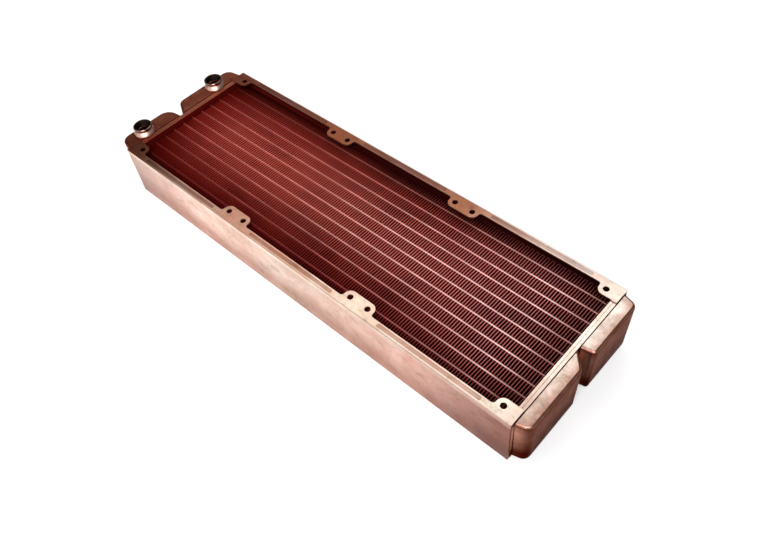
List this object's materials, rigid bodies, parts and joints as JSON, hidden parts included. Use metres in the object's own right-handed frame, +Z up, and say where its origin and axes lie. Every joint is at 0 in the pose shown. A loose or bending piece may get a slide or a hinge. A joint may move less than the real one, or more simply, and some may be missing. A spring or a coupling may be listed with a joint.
{
  "type": "water-cooling radiator",
  "caption": "Slim bare-copper liquid-to-air radiator in the three-fan size, with flat tubes, folded fins, notched end tanks and two threaded ports on one end.",
  "frame": {"origin": "middle of the part in plan, on the plane that its lower fan face rests on", "axes": "+X along the tubes from the port tank to the return tank, +Z up out of the face with the ports, +Y towards the outlet port's side"},
  "size_m": [0.392, 0.12, 0.0491],
  "materials": {
    "frame_copper": "rolled copper sheet, satin",
    "header_copper": "rolled copper sheet, bright",
    "tank_copper": "pressed copper, lightly tarnished",
    "tube_copper": "copper, satin",
    "fin_copper": "thin copper strip, reddish",
    "port_plating": "dark polished plating on the ring"
  },
  "bodies": {
    "root": {"side_frame_near": "frame_copper", "side_frame_far": "frame_copper", "header_plate_port_end": "header_copper", "header_plate_return_end": "header_copper", "port_tank_cover": "tank_copper", "return_tank_cover": "tank_copper", "port_tank_divider": "tank_copper", "inlet_port_boss": "port_plating", "outlet_port_boss": "port_plating", "core_side_plate_near": "tube_copper", "core_side_plate_far": "tube_copper", "flat_tube_01": "tube_copper", "flat_tube_02": "tube_copper", "flat_tube_03": "tube_copper", "flat_tube_04": "tube_copper", "flat_tube_05": "tube_copper", "flat_tube_06": "tube_copper", "flat_tube_07": "tube_copper", "flat_tube_08": "tube_copper", "flat_tube_09": "tube_copper", "flat_tube_10": "tube_copper", "flat_tube_11": "tube_copper", "fin_strip_01": "fin_copper", "fin_strip_02": "fin_copper", "fin_strip_03": "fin_copper", "fin_strip_04": "fin_copper", "fin_strip_05": "fin_copper", "fin_strip_06": "fin_copper", "fin_strip_07": "fin_copper", "fin_strip_08": "fin_copper", "fin_strip_09": "fin_copper", "fin_strip_10": "fin_copper", "fin_strip_11": "fin_copper", "fin_strip_12": "fin_copper"}
  },
  "joints": []
}
